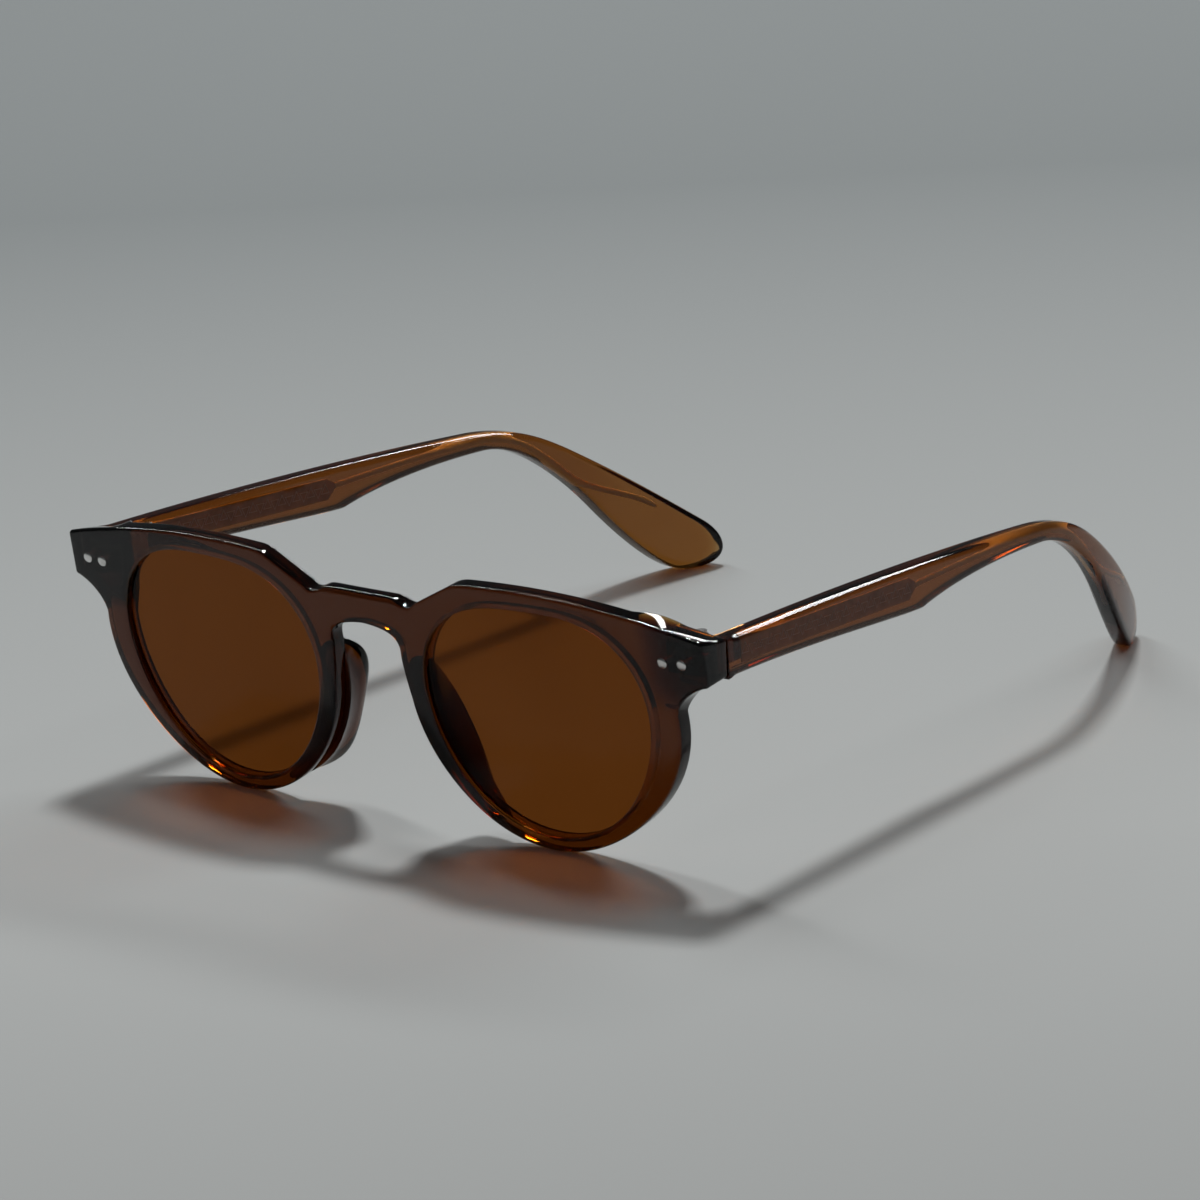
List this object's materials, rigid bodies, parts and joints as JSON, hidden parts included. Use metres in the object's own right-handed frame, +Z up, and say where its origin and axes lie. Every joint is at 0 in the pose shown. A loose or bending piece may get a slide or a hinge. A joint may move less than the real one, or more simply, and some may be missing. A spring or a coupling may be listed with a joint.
{
  "type": "full rim sunglasses",
  "caption": "Panto sunglasses with translucent brown acetate front, tinted lenses, riveted hinges and two folding temples with a metal core",
  "frame": {"origin": "on the surface the glasses stand on, under the middle of their box, with the temples open", "axes": "+X is the wearer's left, -Y is the front that the lenses face, +Z is up"},
  "size_m": [0.144, 0.156, 0.0485],
  "materials": {
    "acetate": "polished translucent dark tea brown cellulose acetate",
    "lens": "polished brown tinted lens",
    "steel": "polished nickel silver",
    "core_metal": "satin metal core seen through the temple"
  },
  "bodies": {
    "front": {"frame_front": "acetate", "nose_pad_left": "acetate", "nose_pad_right": "acetate", "lens_left": "lens", "lens_right": "lens", "rivet_outer_left": "steel", "rivet_outer_right": "steel", "rivet_inner_left": "steel", "rivet_inner_right": "steel", "front_hinge_left": "steel", "front_hinge_right": "steel", "hinge_screw_left": "steel", "hinge_screw_right": "steel"},
    "left_temple": {"temple_left": "acetate", "temple_core_left": "core_metal", "temple_hinge_left": "steel"},
    "right_temple": {"temple_right": "acetate", "temple_core_right": "core_metal", "temple_hinge_right": "steel"}
  },
  "joints": [
    {"name": "left_fold", "type": "hinge", "parent": "front", "child": "left_temple", "pos_m": [0.0652, -0.06473, 0.039], "axis": [0, 0, 1], "range_deg": [0, 85]},
    {"name": "right_fold", "type": "hinge", "parent": "front", "child": "right_temple", "pos_m": [-0.0652, -0.06473, 0.039], "axis": [0, 0, -1], "range_deg": [0, 70]}
  ]
}
